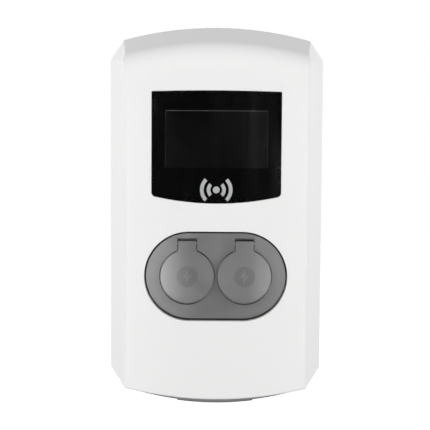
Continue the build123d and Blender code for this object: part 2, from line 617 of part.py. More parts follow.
def device(x, z, width, height, shoulder_y=SHOULDER_Y, nose_y=NOSE_Y, nose=22.5):
    """A stepped rail-mounted case, open at the back where it clips on the rail."""
    h, jaw, clip = height / 2, 18.0, RAIL_FACE - 0.1
    side = Polyline((DEVICE_BACK, -h), (shoulder_y, -h), (shoulder_y, -nose), (nose_y, -nose),
                    (nose_y, nose), (shoulder_y, nose), (shoulder_y, h), (DEVICE_BACK, h),
                    (DEVICE_BACK, jaw), (clip, jaw), (clip, -jaw), (DEVICE_BACK, -jaw), close=True)
    case = extrude(Plane.YZ * make_face(side), amount=width / 2, both=True)
    corners = [e for e in case.edges().filter_by(Axis.X) if e.center().Y < nose_y + 0.1]
    return Pos(x, 0, z) * fillet(corners, 1.2)


def terminal_row(case, x, z, pitch, count, y, offset_z):
    """Screw wells in a row above and below a device's nose."""
    for i in range(count):
        cx = x + (i - (count - 1) / 2) * pitch
        for side in (-1, 1):
            case -= rod_y(cx, z + side * offset_z, 3.2, y - 1, y + 5)
            case -= block(cx - 4, cx + 4, y + 8, y + 18, z + side * 43 - 3.5, z + side * 43 + 3.5)
    return case


def breaker_case(x):
    """A four-pole residual-current breaker, grooved between its poles."""
    z = RAIL_BREAKERS_Z
    case = device(x, z, BREAKER_WIDTH, 85)
    case = terminal_row(case, x, z, POLE, 4, SHOULDER_Y, 32)
    for i in (-1, 0, 1):
        groove = x + i * POLE
        case -= block(groove - 0.3, groove + 0.3, NOSE_Y - 1, NOSE_Y + 0.6, z - 40, z + 40)
        case -= block(groove - 0.3, groove + 0.3, SHOULDER_Y - 1, SHOULDER_Y + 0.6, z - 44, z + 44)
    case -= rod_x(LEVER_Y, z, LEVER_R + 0.35, x - BREAKER_WIDTH / 2 + 6, x + BREAKER_WIDTH / 2 - 6)
    bx, half = x + BREAKER_WIDTH / 2 - 11, BUTTON_SIDE / 2 + 0.3
    return case - block(bx - half, bx + half, NOSE_Y - 1, NOSE_Y + 4.2,
                        z + BUTTON_Z - half, z + BUTTON_Z + half)


def breaker_lever(x):
    """Four ganged toggles on one shaft, standing up in the on position."""
    z, half = RAIL_BREAKERS_Z, BREAKER_WIDTH / 2 - 6.4
    lever = rod_x(LEVER_Y, z, LEVER_R, x - half, x + half)
    lift = radians(35)
    for i in range(4):
        cx = x + (i - 1.5) * POLE
        blade = Pos(0, -12.5, 0) * fillet(Box(9, 11, 5).edges().filter_by(Axis.X), 1.0)
        lever += Pos(cx, LEVER_Y, z) * (Rot(-35, 0, 0) * blade)
    bar_y, bar_z = LEVER_Y - 15.5 * cos(lift), z + 15.5 * sin(lift)
    return lever + rod_x(bar_y, bar_z, 1.6, x - half + 2, x + half - 2)


def breaker_button(x):
    """The spring-loaded test button."""
    bx, half = x + BREAKER_WIDTH / 2 - 11, BUTTON_SIDE / 2
    z = RAIL_BREAKERS_Z + BUTTON_Z
    button = block(bx - half, bx + half, NOSE_Y - 1.6, NOSE_Y + 2.4, z - half, z + half)
    return fillet(button.faces().sort_by(Axis.Y)[0].edges(), 0.5)


def contactor(x):
    """A four-pole contactor with a hand-operated slider's window."""
    z, width = RAIL_METERS_Z, 53.4
    case = device(x, z, width, 86, SHOULDER_Y + 6, NOSE_Y + 8, 24)
    case = terminal_row(case, x, z, 12.4, 4, SHOULDER_Y + 6, 33)
    case -= slab(Pos(x, z) * SlotOverall(22, 7), NOSE_Y + 7, NOSE_Y + 9.5)
    return case + slab(Pos(x + 4, z) * RectangleRounded(7, 5, 1), NOSE_Y + 8.4, NOSE_Y + 9.6)


def energy_meter(x):
    """A four-module meter with a sunk window and two keys."""
    z, width = RAIL_METERS_Z, 71.4
    case = device(x, z, width, 88, SHOULDER_Y + 2, NOSE_Y, 25)
    case = terminal_row(case, x, z, 15.0, 4, SHOULDER_Y + 2, 34)
    case -= slab(Pos(x - 6, z + 6) * RectangleRounded(*METER_VIEW, 1.5), NOSE_Y - 1, NOSE_Y + 1.6)
    for dz in (10, 0):
        case += rod_y(x + 28, z + dz, 2.6, NOSE_Y - 1.0, NOSE_Y)
    return case


def meter_windows():
    size = (METER_VIEW[0] - 0.2, METER_VIEW[1] - 0.2)
    return Compound([slab(Pos(x - 6, RAIL_METERS_Z + 6) * RectangleRounded(*size, 1.4),
                          NOSE_Y + 0.4, NOSE_Y + 1.6).solid() for x in METERS])


def power_supply():
    """A rail-mounted supply with vent slots above and below its nose."""
    x, z, width = 51.5, RAIL_BREAKERS_Z, 53.0
    case = device(x, z, width, 88, SHOULDER_Y, NOSE_Y + 4, 24)
    for i in range(7):
        cx = x + (i - 3) * 6.4
        case -= block(cx - 1.2, cx + 1.2, -62, -34, z + 40, z + 46)
        case -= block(cx - 1.2, cx + 1.2, -62, -34, z - 46, z - 40)
    case -= rod_y(x + 18, z + 14, 1.8, NOSE_Y + 3, NOSE_Y + 6)
    for i in range(4):
        case -= rod_y(x + (i - 1.5) * 9, z - 33, 2.6, SHOULDER_Y - 1, SHOULDER_Y + 5)
    return case


def router_module():
    """The narrow mobile-network module beside the supply."""
    x, z = 98.5, RAIL_BREAKERS_Z
    case = device(x, z, 35.0, 88, SHOULDER_Y, NOSE_Y + 6, 26)
    for dz in (-9, 0, 9):
        case -= rod_y(x - 10, z + dz, 1.5, NOSE_Y + 5, NOSE_Y + 8)
    case -= block(x - 3, x + 12, NOSE_Y + 5, NOSE_Y + 16, z - 8, z + 6)
    return case


def supply_terminals():
    """Five feed-through terminals and two end stops on the lower rail."""
    pieces = []
    for i in range(5):
        x = (i - 2) * 12.2
        unit = device(x, RAIL_SUPPLY_Z, 12.0, 56, -52.0, -60.0, 14)
        for side in (-1, 1):
            unit -= rod_y(x, RAIL_SUPPLY_Z + side * 20, 3.6, -53, -46)
            end = RAIL_SUPPLY_Z + side * 28
            unit -= block(x - 4, x + 4, -44, -34, end - 4, end + 4)
        pieces.append(unit.solid())
    for x in (-36.0, 36.0):
        pieces.append(device(x, RAIL_SUPPLY_Z, 8.0, 44, -44.0, -48.0, 12).solid())
    return Compound(pieces)


def earth_bar():
    """A brass bar on two feet, with a clamping screw over each hole."""
    z, y = -196.0, -34.0
    bar = block(-42, 42, y - 9, y, z - 5, z + 5)
    bar += block(-42, -34, y, CHASSIS_FRONT, z - 5, z + 5) + block(34, 42, y, CHASSIS_FRONT, z - 5, z + 5)
    for i in range(6):
        x = (i - 2.5) * 11.5
        bar -= rod_z(x, y - 4.5, 2.8, z - 8, z + 8)
        bar += rod_y(x, z, 3.2, y - 12.5, y - 9)
        bar -= block(x - 3.4, x + 3.4, y - 13, y - 11.4, z - 0.5, z + 0.5)
    return bar


def controller_board():
    board = slab(Pos(0, 184) * RectangleRounded(210, 72, 3), -33.6, -32.0)
    for x, z in controller_posts():
        board -= rod_y(x, z, 1.6, -35, -31)
    return board


def controller_posts():
    return [(x, z) for x in (-98.0, 98.0) for z in (154.0, 214.0)]


def controller_standoffs():
    posts = []
    for x, z in controller_posts():
        post = slab(Pos(x, z) * RegularPolygon(3.6, 6), -32.0, CHASSIS_FRONT) + rod_y(x, z, 1.6, -33.6, -32)
        posts.append((post + rod_y(x, z, 2.9, -35.8, -33.6)).solid())
    return Compound(posts)


def controller_parts():
    """Relays, plug terminals, a network jack, chips and capacitors on the controller."""
    spots = [(x, 206, 16, 14, 14) for x in (-60, -40, -20)] + [(40, 206, 30, 10, 8), (72, 206, 26, 10, 8)]
    spots += [(-70, 162, 34, 10, 10), (-30, 162, 34, 10, 10), (16, 162, 16, 16, 13), (46, 162, 20, 12, 10)]
    spots += [(0, 186, 22, 22, 2.2), (34, 184, 14, 14, 1.8), (-36, 184, 12, 8, 1.6), (-62, 184, 18, 10, 5)]
    parts = [slab(Pos(x, z) * Rectangle(w, h), -33.6 - d, -33.6).solid() for x, z, w, h, d in spots]
    parts += [rod_y(x, 184, 5.0, -47.0, -33.6).solid() for x in (62.0, 75.0, 88.0)]
    return Compound(parts)


# ---- socket bracket, sockets and their fittings ----
def socket_bracket():
    """A bent steel bracket that carries both sockets out from the chassis."""
    side, low, high = 130.0, -152.0, -31.0
    outline = Pos(0, (low + high) / 2) * RectangleRounded(2 * side, high - low, 3)
    panel = slab(outline, PANEL_FRONT, PANEL_BACK)
    for sign in (-1, 1):
        x0, x1 = sorted((sign * side, sign * (side - 2)))
        leg = block(x0, x1, PANEL_FRONT, CHASSIS_FRONT, -140, -58)
        window = block(x0 - 1, x1 + 1, -185, -60, -122, -76)
        leg -= fillet(window.edges().filter_by(Axis.X), 12)
        f0, f1 = sorted((sign * side, sign * (side - 20)))
        foot = block(f0, f1, CHASSIS_FRONT - 2, CHASSIS_FRONT, -140, -58)
        for z in (-128.0, -70.0):
            foot -= rod_y(sign * (side - 12), z, 2.7, CHASSIS_FRONT - 3, CHASSIS_FRONT + 1)
        panel += leg + foot
    for x in SOCKETS.values():
        panel -= rod_y(x, SOCKET_Z, BODY_R + 0.5, PANEL_FRONT - 1, PANEL_BACK + 1)
    for x, z in plate_screw_spots():
        panel -= rod_y(x, z, 2.2, PANEL_FRONT - 1, PANEL_BACK + 1)
    return panel


def bracket_screws():
    """The four screws through the bracket's feet."""
    screws = []
    for x in (-118.0, 118.0):
        for z in (-128.0, -70.0):
            head = rod_y(x, z, 4.4, CHASSIS_FRONT - 5.0, CHASSIS_FRONT - 2)
            head -= slab(Pos(x, z) * RegularPolygon(2.0, 6), CHASSIS_FRONT - 6, CHASSIS_FRONT - 3.4)
            screws.append((head + rod_y(x, z, 2.6, CHASSIS_FRONT - 2, CHASSIS_FRONT)).solid())
    return screws


def lid_face(x, grow):
    """A lid's outline from the front, grown evenly: a disc and its hinge tab, with rounded roots."""
    low, top = SOCKET_Z, TAB_TOP + grow
    half = TAB_HALF + grow
    tab = Pos(x, (low + top) / 2) * Rectangle(2 * half, top - low)
    outline = Pos(x, SOCKET_Z) * Circle(LID_R + grow) + tab
    roots = [v for v in outline.vertices() if v.Y < top - 1]
    return fillet(roots, TAB_ROOT_R - grow)


def plate_screw_spots():
    return [(0.0, -42.0), (0.0, -146.0), (-95.0, SOCKET_Z), (95.0, SOCKET_Z)]


def leaning_space(inset):
    """Everything behind the socket plate's leaning face."""
    top, low = SOCKET_Z + OVAL[1] / 2, SOCKET_Z - OVAL[1] / 2
    run = (0, PLATE_LOW_Y - PLATE_TOP_Y, low - top)
    return half_space((0, PLATE_TOP_Y, top), (0, run[2], -run[1]), inset)


def socket_plate():
    """The grey oval plate: leaning face, two lid pockets, hinge notches and a hollow back."""
    front = FRONT - 2
    plate = slab(oval(-OVAL_GAP), front, PLATE_BACK) & leaning_space(0)
    face = plate.faces().sort_by(Axis.Y)[0]
    plate = fillet(face.edges(), 0.9)
    hollow = slab(oval(-OVAL_GAP - PLATE_WALL), front, PLATE_BACK + 1) & leaning_space(PLATE_WALL)
    notch = TAB_HALF + LID_GAP
    around = notch + PIN_END + 1
    for x in SOCKETS.values():
        hollow -= rod_y(x, SOCKET_Z, LID_R + LID_GAP + 2.4, front, PLATE_BACK + 2)
        hollow -= rod_y(x, SOCKET_Z - GRIP_DROP, LID_R + LID_GAP + 2.4, front, PLATE_BACK + 2)
        hollow -= block(x - around, x + around, front, PLATE_BACK + 2, -60, NOTCH_TOP + 4)
    plate -= hollow
    for x in SOCKETS.values():
        plate -= slab(lid_face(x, LID_GAP), front, POCKET_FLOOR)
        plate -= rod_y(x, SOCKET_Z - GRIP_DROP, LID_R + LID_GAP, front, POCKET_FLOOR)
        plate -= rod_y(x, SOCKET_Z, COLLAR_R + 0.2, front, PLATE_BACK + 1)
        plate -= block(x - notch, x + notch, front, POCKET_FLOOR, HINGE_Z, NOTCH_TOP)
        plate -= rod_x(HINGE_Y, HINGE_Z, PIN_R, x - notch - PIN_END, x + notch + PIN_END)
    for x, z in plate_screw_spots():
        plate += rod_y(x, z, 4.2, FRONT, PANEL_FRONT) & leaning_space(1)
        plate -= rod_y(x, z, 1.6, PLATE_BACK - 3, PANEL_FRONT + 1)
    return plate


def oval_gasket():
    """The black ring in the gap between the plate and the cover."""
    return slab(oval(-0.35) - oval(-OVAL_GAP), -217.5, PANEL_FRONT)


def plate_screws():
    """The four screws that hold the plate to the bracket from behind."""
    screws = []
    for x, z in plate_screw_spots():
        head = rod_y(x, z, 3.4, PANEL_BACK, PANEL_BACK + 2.4)
        head -= slab(Pos(x, z) * RegularPolygon(1.5, 6), PANEL_BACK + 1.2, PANEL_BACK + 3)
        screws.append((head + rod_y(x, z, 1.6, PLATE_BACK - 2, PANEL_BACK)).solid())
    return screws


def flattened_disc(x, radius, flat, y_front, y_back):
    """A disc with a flat on top, the keyed outline of the plug."""
    disc = rod_y(x, SOCKET_Z, radius, y_front, y_back)
    return disc & block(-REACH, REACH, -REACH, REACH, -REACH, SOCKET_Z + flat)


def socket_shell(x):
    """A socket outlet's outer part: collar, flange and the keyed tube that takes the plug's shroud."""
    shell = rod_y(x, SOCKET_Z, COLLAR_R, COLLAR_FRONT, PANEL_FRONT)
    shell = chamfer(shell.faces().sort_by(Axis.Y)[0].edges(), 0.8)
    shell += slab(Pos(x, SOCKET_Z) * RectangleRounded(76, 76, 8), PLATE_BACK + 0.3, PANEL_FRONT)
    shell += rod_y(x, SOCKET_Z, BODY_R, PANEL_FRONT, BODY_BACK)
    shell -= flattened_disc(x, RECESS_R, RECESS_FLAT, COLLAR_FRONT - 1, BODY_BACK + 1)
    for dx, dz in FLANGE_SCREWS:
        shell -= rod_y(x + dx, SOCKET_Z + dz, 2.2, PLATE_BACK - 1, PANEL_FRONT + 1)
    top = SOCKET_Z + BODY_R + 1
    return shell - rod_z(x, LOCK_Y, LOCK_R + LOCK_CLEARANCE, SOCKET_Z + RECESS_FLAT - 1, top)


def contact_carrier(x):
    """The island with the contact holes, and the terminal base behind it that closes the tube."""
    island = flattened_disc(x, ISLAND_R, ISLAND_FLAT, ISLAND_FRONT, RECESS_FLOOR)
    island = chamfer(island.faces().sort_by(Axis.Y)[0].edges(), 0.8)
    base = flattened_disc(x, RECESS_R - BASE_GAP, RECESS_FLAT - BASE_GAP, RECESS_FLOOR, BODY_BACK)
    base += rod_y(x, SOCKET_Z, BASE_TAIL_R, BODY_BACK, BODY_BACK + BASE_TAIL)
    for dx, dz, mouth, bore in contact_holes():
        cx, cz, step = x + dx, SOCKET_Z + dz, ISLAND_FRONT + SLEEVE_DEPTH
        island -= rod_y(cx, cz, mouth, ISLAND_FRONT - 1, step)
        island -= rod_y(cx, cz, bore, step, RECESS_FLOOR + 1)
        base -= rod_y(cx, cz, bore, RECESS_FLOOR - 1, BODY_BACK + BASE_TAIL + 1)
    return Compound([island.solid(), base.solid()])


def contact_holes():
    """Offset in x and z, mouth radius and bore radius of each contact's hole."""
    return [(*p, 3.4, 4.8) for p in POWER_PINS] + [(*p, 1.8, 2.8) for p in SIGNAL_PINS]


def socket_contacts(x):
    """The seven sleeves: slit spring fingers, closed in a little at the mouth, and solid tails behind."""
    sleeves = []
    for dx, dz, mouth, outer in contact_holes():
        cx, cz, front = x + dx, SOCKET_Z + dz, ISLAND_FRONT + SLEEVE_DEPTH
        tip, inner = mouth - 0.6, mouth - 0.35
        sleeve = rod_y(cx, cz, outer, front, BODY_BACK + 6)
        sleeve -= rod_y(cx, cz, tip, front - 1, front + 3)
        sleeve -= rod_y(cx, cz, inner, front + 3, front + SLEEVE_BORE)
        sleeve -= block(cx - 0.4, cx + 0.4, front - 1, front + 20, cz - outer - 1, cz + outer + 1)
        sleeves.append((sleeve + rod_y(cx, cz, outer * 0.7, BODY_BACK + 6, BODY_BACK + 11)).solid())
    return Compound(sleeves)


def rear_cap(x):
    """The cap over a socket's terminals, with a cable outlet underneath."""
    y0, y1, r = BODY_BACK, CAP_BACK, 29.5
    cap = rod_y(x, SOCKET_Z, r, y0, y1)
    cap = fillet(cap.edges().sort_by(Axis.Y)[-1], 6.0)
    cap -= rod_y(x, SOCKET_Z, r - 2.4, y0 - 1, y1 - 2.4)
    cap += rod_z(x, CABLE_Y, CABLE_R + 3, SOCKET_Z - 36, SOCKET_Z - 22) - rod_y(x, SOCKET_Z, r - 2.4, y0, y1)
    return cap - rod_z(x, CABLE_Y, CABLE_R, SOCKET_Z - 40, SOCKET_Z - 20)


def socket_screws():
    """The screws through the corners of the two socket flanges."""
    screws = []
    for x in SOCKETS.values():
        for dx, dz in FLANGE_SCREWS:
            cx, cz = x + dx, SOCKET_Z + dz
            head = rod_y(cx, cz, 3.6, PLATE_BACK - 1.7, PLATE_BACK + 0.3)
            head = head & block(-REACH, REACH, PLATE_BACK + 0.1, 0, -REACH, REACH)
            screws.append((head + rod_y(cx, cz, 2.2, PLATE_BACK + 0.3, PANEL_FRONT)).solid())
    return screws


def lock_actuator(x):
    """The geared motor above a socket that drives the locking pin."""
    low = SOCKET_Z + BODY_R + 0.6
    case = block(x - 23, x + 23, PANEL_BACK, PANEL_BACK + 32, low, low + 22)
    case = fillet(case.edges().filter_by(Axis.Z), 2.5)
    case += rod_x(PANEL_BACK + 20, low + 23, 8.0, x - 20, x + 6)
    case += block(x + 23, x + 31, PANEL_BACK + 12, PANEL_BACK + 24, low + 4, low + 14)
    for dx in (-18, 18):
        case -= rod_z(x + dx, PANEL_BACK + 6, 2.0, low + 19, low + 23)
    return case - rod_z(x, LOCK_Y, LOCK_R + LOCK_CLEARANCE, low - 1, LOCK_TOP + 0.5)


def lock_pin(x):
    pin = rod_z(x, LOCK_Y, LOCK_R, LOCK_TIP, LOCK_TOP)
    return chamfer(pin.edges().sort_by(Axis.Z)[0], 0.6)


def lid(x):
    """A crowned round cap with a hinge tab, a hollow back and a sunk disc around a raised bolt."""
    arch = LID_FACE - LID_CROWN
    crown_r = (LID_R**2 + arch**2) / (2 * arch)
    crown = Pos(x, LID_CROWN + crown_r, SOCKET_Z) * Sphere(crown_r)
    cap = slab(lid_face(x, 0), LID_CROWN - 1, LID_BACK) & crown
    rim = [e for e in cap.edges() if e.center().Y < LID_FACE + 2]
    cap = fillet(rim, LID_EDGE)
    cap -= block(x - 30, x + 30, HINGE_Y + 1, LID_BACK + 1, HINGE_Z - 6, TAB_TOP + 1)
    cap += rod_x(HINGE_Y, HINGE_Z, KNUCKLE_R, x - TAB_HALF, x + TAB_HALF)
    cap -= rod_y(x, SOCKET_Z, LID_R - 3.2, SEAL_FRONT, LID_BACK + 1)
    cap -= rod_x(HINGE_Y, HINGE_Z, PIN_R + 0.06, x - 20, x + 20)
    half = SPRING_HALF + 0.5
    cap -= block(x - half, x + half, HINGE_Y - SPRING_GAP, HINGE_Y + 6, HINGE_Z - SPRING_GAP, HINGE_Z + 6)
    emblem = Pos(x, SOCKET_Z) * (Circle(EMBLEM_R) - bolt_face())
    return cap - slab(emblem, LID_CROWN - 2, LID_CROWN + EMBLEM_DEPTH)


def bolt_face():
    """A plain lightning bolt."""
    return make_face(Polyline((2.4, 12.4), (-7.4, -1.8), (-1.2, -1.8), (-2.6, -12.4), (7.4, 2.4), (1.0, 2.4),
                              (2.4, 12.4)))


def lid_seal(x):
    """The rubber ring in the lid that rests on the socket's collar."""
    ring = rod_y(x, SOCKET_Z, LID_R - 3.3, SEAL_FRONT, COLLAR_FRONT - 0.3)
    return ring - rod_y(x, SOCKET_Z, 31.5, SEAL_FRONT - 1, COLLAR_FRONT)


def hinge_pin(x):
    ends = TAB_HALF + LID_GAP + PIN_END
    return rod_x(HINGE_Y, HINGE_Z, PIN_R, x - ends, x + ends)


def lid_spring(x):
    """A close-wound torsion spring on the hinge pin."""
    wire, turns, radius = 0.45, 7, 2.75
    pitch = 2 * wire + 0.12
    coil = Helix(pitch=pitch, height=turns * pitch, radius=radius)
    start = Plane(origin=coil @ 0, z_dir=coil % 0)
    wound = sweep(start * Circle(wire), path=coil, is_frenet=True)
    length = turns * pitch
    return Pos(x - length / 2, HINGE_Y, HINGE_Z) * (Rot(0, 90, 0) * wound)


# ---- internal cables ----
def socket_cable(x):
    """The sheathed cable from a contactor down and forward to a socket's rear cap."""
    sign = -1 if x < 0 else 1
    route = [(98.8, -46.0, RAIL_METERS_Z - 43.2), (98.8, -46.0, -98.0), (96.0, -52.0, -143.0),
             (88.0, -72.0, -183.0), (74.0, -102.0, -204.0), (58.0, -130.0, -200.0), (47.0, -142.0, -177.0)]
    points = [(sign * cx, cy, cz) for cx, cy, cz in route]
    points += [(x, CABLE_Y, -149.0), (x, CABLE_Y, SOCKET_Z - 29.0)]
    return tube(points, CABLE_R - 0.05, bend_radii(points))


def supply_cable():
    """The sheathed link from the supply terminals up the left side to the breakers."""
    points = [(-24.4, -40.0, RAIL_SUPPLY_Z + 28.2), (-24.4, -40.0, -106.0), (-34.0, -46.0, -84.0),
              (-66.0, -96.0, -66.0), (-112.0, -100.0, -46.0), (-136.0, -92.0, -8.0), (-139.0, -84.0, 38.0),
              (-139.0, -76.0, 90.0), (-134.0, -64.0, 132.0), (-118.0, -54.0, 147.0), (-98.0, -50.0, 149.0),
              (-87.0, -50.0, 141.0), (-87.0, -50.0, 132.6)]
    return tube(points, 4.0, bend_radii(points))


# ---- writing ----
def both_sockets(make):
    """One group of solids from the left and the right socket's piece."""
    return Compound([solid for x in SOCKETS.values() for solid in make(x).solids()])


def sub_parts():
    """Every node's name and shape."""
    made = {
        "front_cover": front_cover(),
        "window_glass": window_glass(),
        "window_mask": window_mask(),
        "reader_symbol": reader_symbol(),
        "display_bezel": display_bezel(),
        "display_panel": display_panel(),
        "display_carrier": display_carrier(),
        "display_board": display_board(),
        "display_board_parts": display_board_parts(),
        "reader_board": reader_board(),
        "carrier_screws": carrier_screws(),
        "rear_housing": rear_housing(),
        "rim_seal": rim_seal(),
        "wall_washers": wall_washers(),
        "cover_screws": cover_screws(),
        "chin_cap": chin_cap(),
        "entry_plate": entry_plate(),
        "entry_screws": entry_screws(),
        "gland_bodies": Compound(
            gland_body(SUPPLY_X, 20.0, 24.5, 17.4) + gland_body(DATA_X, 10.0, 13.0, 7.6)),
        "gland_nuts": Compound([gland_nut(SUPPLY_X, 20.1, 24.5, 15.5), gland_nut(DATA_X, 10.1, 13.0, 6.2)]),
        "gland_seals": Compound([gland_seal(SUPPLY_X, 17.4, 14.0), gland_seal(DATA_X, 7.6, 5.0)]),
        "spare_plug": spare_plug(),
        "chassis_plate": chassis_plate(),
        "chassis_screws": chassis_screws(),
        "din_rails": din_rails(),
        "breaker_cases": Compound([breaker_case(x) for x in BREAKERS.values()]),
        "contactors": Compound([contactor(x) for x in CONTACTORS]),
        "energy_meters": Compound([energy_meter(x) for x in METERS]),
        "meter_windows": meter_windows(),
        "power_supply": power_supply(),
        "router_module": router_module(),
        "supply_terminals": supply_terminals(),
        "earth_bar": earth_bar(),
        "controller_board": controller_board(),
        "controller_parts": controller_parts(),
        "controller_standoffs": controller_standoffs(),
        "supply_cable": supply_cable(),
        "socket_bracket": socket_bracket(),
        "socket_plate": socket_plate(),
        "oval_gasket": oval_gasket(),
        "socket_screws": Compound(plate_screws() + socket_screws()),
        "contact_carriers": both_sockets(contact_carrier),
        "socket_contacts": both_sockets(socket_contacts),
        "socket_caps": both_sockets(rear_cap),
        "socket_cables": both_sockets(socket_cable),
        "lock_actuators": both_sockets(lock_actuator),
        "hinge_pins": both_sockets(hinge_pin),
        "lid_springs": both_sockets(lid_spring),
    }
    for side, x in BREAKERS.items():
        made[f"breaker_{side}_lever"] = breaker_lever(x)
        made[f"breaker_{side}_button"] = breaker_button(x)
    for side, x in SOCKETS.items():
        made[f"socket_{side}"] = socket_shell(x)
        made[f"lock_{side}_pin"] = lock_pin(x)
        made[f"lid_{side}"] = lid(x)
        made[f"lid_{side}_seal"] = lid_seal(x)
    return made


os.makedirs("parts", exist_ok=True)
for node, shape in sub_parts().items():
    export_step(shape, f"parts/{node}.step")
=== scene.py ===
"""The looks of a twin-socket charging station head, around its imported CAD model.

Metres, +Z up, front towards -Y.
"""

import json
import math

import bpy
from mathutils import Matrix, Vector


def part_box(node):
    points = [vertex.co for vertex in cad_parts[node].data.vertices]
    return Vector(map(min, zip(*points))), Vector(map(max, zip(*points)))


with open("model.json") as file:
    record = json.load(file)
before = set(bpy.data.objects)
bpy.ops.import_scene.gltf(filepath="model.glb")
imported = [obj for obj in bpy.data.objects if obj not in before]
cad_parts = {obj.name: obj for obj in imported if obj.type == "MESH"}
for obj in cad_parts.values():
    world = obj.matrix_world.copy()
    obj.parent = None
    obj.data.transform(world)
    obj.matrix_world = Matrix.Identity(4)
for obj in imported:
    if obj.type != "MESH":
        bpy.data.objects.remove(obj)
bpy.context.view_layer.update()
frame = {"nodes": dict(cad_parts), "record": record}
FRONT_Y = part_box("front_cover")[0].y

# ---- camera ----
VIEW_DISTANCE = 1.5  # from the camera to the front face
VIEW_ELEVATION, VIEW_ROLL = math.radians(4.0), math.radians(-0.37)
FOCAL_SHARE = 1000.0 / 430.0  # focal length over image width
CAMERA_X = -0.0023

# ---- surroundings ----
FLOOR_Z = -1.25
BACKDROP = (1.0, 1.0, 1.0)
# brightness of the room in front of the object, and beside and behind it
FRONT_LEVEL, RING_LEVEL = 0.89, 1.02
ZENITH_SHARE, NADIR_SHARE = 0.22, 0.15
HOLE_LEVEL = 0.025  # the dark zone behind the camera
BOX_LEVEL, BOX_TILT = 6.4, 0.24  # the two soft boxes beside it, the left one brighter by twice the tilt
HOLE_HALF = 0.079  # half its width, radians
BOX_END = 0.24
BOX_LOW, BOX_HIGH = -0.36, 0.055
HOLE_LOW, HOLE_HIGH = -0.5, 0.30
RING_START, RING_FULL = 0.75, 1.35  # radians round from the camera's side
KEY_DISTANCE, KEY_SIZE = 3.6, 1.6
KEY_AZIMUTH, KEY_ELEVATION = math.radians(58), math.radians(15)
KEY_POWER = {-1: 44.5, 1: 38.0}


# ---- finishes used more than once ----
SOCKET_GREY, SOCKET_GLOSS = (0.122, 0.122, 0.123), 0.17
EMBLEM_R, EMBLEM_SHADE_TONE = 0.0155, 0.76  # of the sunk disc on each lid: its radius, and the tone of the painted shade on its floor
# room around each lid in the plate, and how far it reaches down further
POCKET_GAP, POCKET_DROP = 0.0010, 0.0022
# the notch for each hinge tab: half its width, and the room above the tab
NOTCH_HALF, NOTCH_ROOM = 0.0147, 0.0039
POCKET_SHADE_TONE, FADE = 0.12, 0.0001  # painted shade inside the pockets, and how softly it ends


# ---- node helpers ----
def new_material(name):
    """A material with its Principled shader: (material, tree, shader)."""
    mat = bpy.data.materials.new(name)
    mat.use_nodes = True
    tree = mat.node_tree
    return mat, tree, tree.nodes["Principled BSDF"]


def add(tree, kind, **settings):
    """A node with its properties set."""
    node = tree.nodes.new(kind)
    for key, value in settings.items():
        setattr(node, key, value)
    return node


def place(tree, stretch=(1, 1, 1), shift=(0, 0, 0)):
    """The surface's place in the model's own metres, stretched to give a pattern a direction."""
    coords = add(tree, "ShaderNodeTexCoord")
    mapping = add(tree, "ShaderNodeMapping")
    mapping.inputs["Scale"].default_value = stretch
    mapping.inputs["Location"].default_value = shift
    tree.links.new(coords.outputs["Object"], mapping.inputs["Vector"])
    return mapping.outputs["Vector"]


def noise(tree, scale, detail=2.0, roughness=0.5, vector=None, distortion=0.0):
    """Cloudy noise, 0 to 1, with about scale features to the metre."""
    node = add(tree, "ShaderNodeTexNoise")
    node.inputs["Scale"].default_value = scale
    node.inputs["Detail"].default_value = detail
    node.inputs["Roughness"].default_value = roughness
    node.inputs["Distortion"].default_value = distortion
    tree.links.new(vector or place(tree), node.inputs["Vector"])
    return node.outputs["Fac"]


def cells(tree, scale):
    """Distance to the nearest of scattered points."""
    node = add(tree, "ShaderNodeTexVoronoi", feature="F1")
    node.inputs["Scale"].default_value = scale
    tree.links.new(place(tree), node.inputs["Vector"])
    return node.outputs["Distance"]


def spread(tree, value, low, high, to_low=0.0, to_high=1.0, smooth=False):
    """Maps low..high of a value to another range, clamped."""
    node = add(tree, "ShaderNodeMapRange", interpolation_type="SMOOTHSTEP" if smooth else "LINEAR")
    tree.links.new(value, node.inputs["Value"])
    node.inputs["From Min"].default_value = low
    node.inputs["From Max"].default_value = high
    node.inputs["To Min"].default_value = to_low
    node.inputs["To Max"].default_value = to_high
    return node.outputs["Result"]


def maths(tree, operation, first, second=None):
    """One step of arithmetic on sockets or plain numbers."""
    node = add(tree, "ShaderNodeMath", operation=operation)
    for slot, value in zip(node.inputs, (first, second)):
        if value is None:
            continue
        if isinstance(value, (int, float)):
            slot.default_value = value
        else:
            tree.links.new(value, slot)
    return node.outputs["Value"]


def blend_colours(tree, factor, first, second):
    """A mix of two colours, each a tuple or a socket."""
    node = add(tree, "ShaderNodeMix", data_type="RGBA")
    tree.links.new(factor, node.inputs["Factor"])
    for slot, colour in ((node.inputs[6], first), (node.inputs[7], second)):
        if isinstance(colour, tuple):
            slot.default_value = (*colour, 1.0)
        else:
            tree.links.new(colour, slot)
    return node.outputs[2]


def bump(tree, shader, height, depth, strength=1.0, under=None):
    """Relief of the given depth in metres, on top of another bump if one is given."""
    node = add(tree, "ShaderNodeBump")
    node.inputs["Distance"].default_value = depth
    node.inputs["Strength"].default_value = strength
    tree.links.new(height, node.inputs["Height"])
    if under is not None:
        tree.links.new(under, node.inputs["Normal"])
    tree.links.new(node.outputs["Normal"], shader.inputs["Normal"])
    return node.outputs["Normal"]


def tone(colour, factor):
    """A colour made lighter or darker."""
    return tuple(min(1.0, c * factor) for c in colour)


